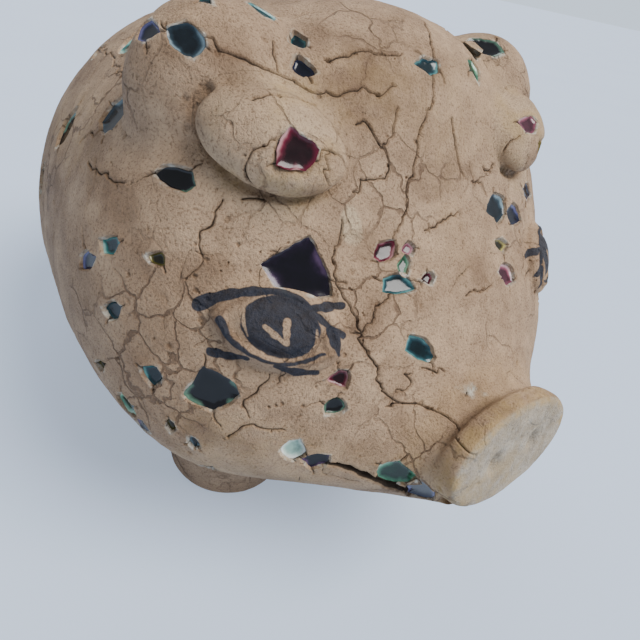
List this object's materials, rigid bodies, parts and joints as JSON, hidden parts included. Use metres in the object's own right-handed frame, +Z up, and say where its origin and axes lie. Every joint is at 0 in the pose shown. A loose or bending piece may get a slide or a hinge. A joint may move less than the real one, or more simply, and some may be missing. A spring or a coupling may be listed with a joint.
{
  "type": "piggy bank",
  "caption": "Plump hollow clay pig money bank with crackled slip, glassy glaze inlays, a coin slot in the back and a cork bung in the belly.",
  "frame": {"origin": "middle of the bank's bounding box on the surface that it stands on", "axes": "+Z up, the snout points along -Y, the pig's right side is -X"},
  "size_m": [0.1422, 0.1978, 0.1222],
  "materials": {
    "clay": "matt crazed slip, unglazed",
    "snout_clay": "worn bare clay",
    "eye_slip": "matt painted slip",
    "cork": "pressed cork",
    "chips_amber": "pooled glassy glaze",
    "chips_black": "pooled glassy glaze",
    "chips_crimson": "pooled glassy glaze",
    "chips_green": "pooled glassy glaze",
    "chips_navy": "pooled glassy glaze",
    "chips_rose": "pooled glassy glaze",
    "chips_slate": "pooled glassy glaze",
    "chips_teal": "pooled glassy glaze",
    "chips_turquoise": "pooled glassy glaze",
    "chips_violet": "pooled glassy glaze",
    "chips_white": "pooled glassy glaze"
  },
  "bodies": {
    "pig": {"body_left_half": "clay", "body_right_half": "clay", "chips_amber": "chips_amber", "chips_black": "chips_black", "chips_crimson": "chips_crimson", "chips_green": "chips_green", "chips_navy": "chips_navy", "chips_rose": "chips_rose", "chips_slate": "chips_slate", "chips_teal": "chips_teal", "chips_turquoise": "chips_turquoise", "chips_violet": "chips_violet", "chips_white": "chips_white", "ear_left": "clay", "ear_right": "clay", "eyeball_left": "eye_slip", "eyeball_right": "eye_slip", "eyelids_left": "clay", "eyelids_right": "clay", "foot_front_left": "clay", "foot_front_right": "clay", "foot_hind_left": "clay", "foot_hind_right": "clay", "head_shell": "clay", "snout_disc": "snout_clay", "tail": "clay"},
    "bung": {"stopper": "cork"}
  },
  "joints": [
    {"name": "stopper_pull", "type": "slide", "parent": "pig", "child": "bung", "axis": [0, 0, -1], "range_m": [0, 0.03]}
  ]
}
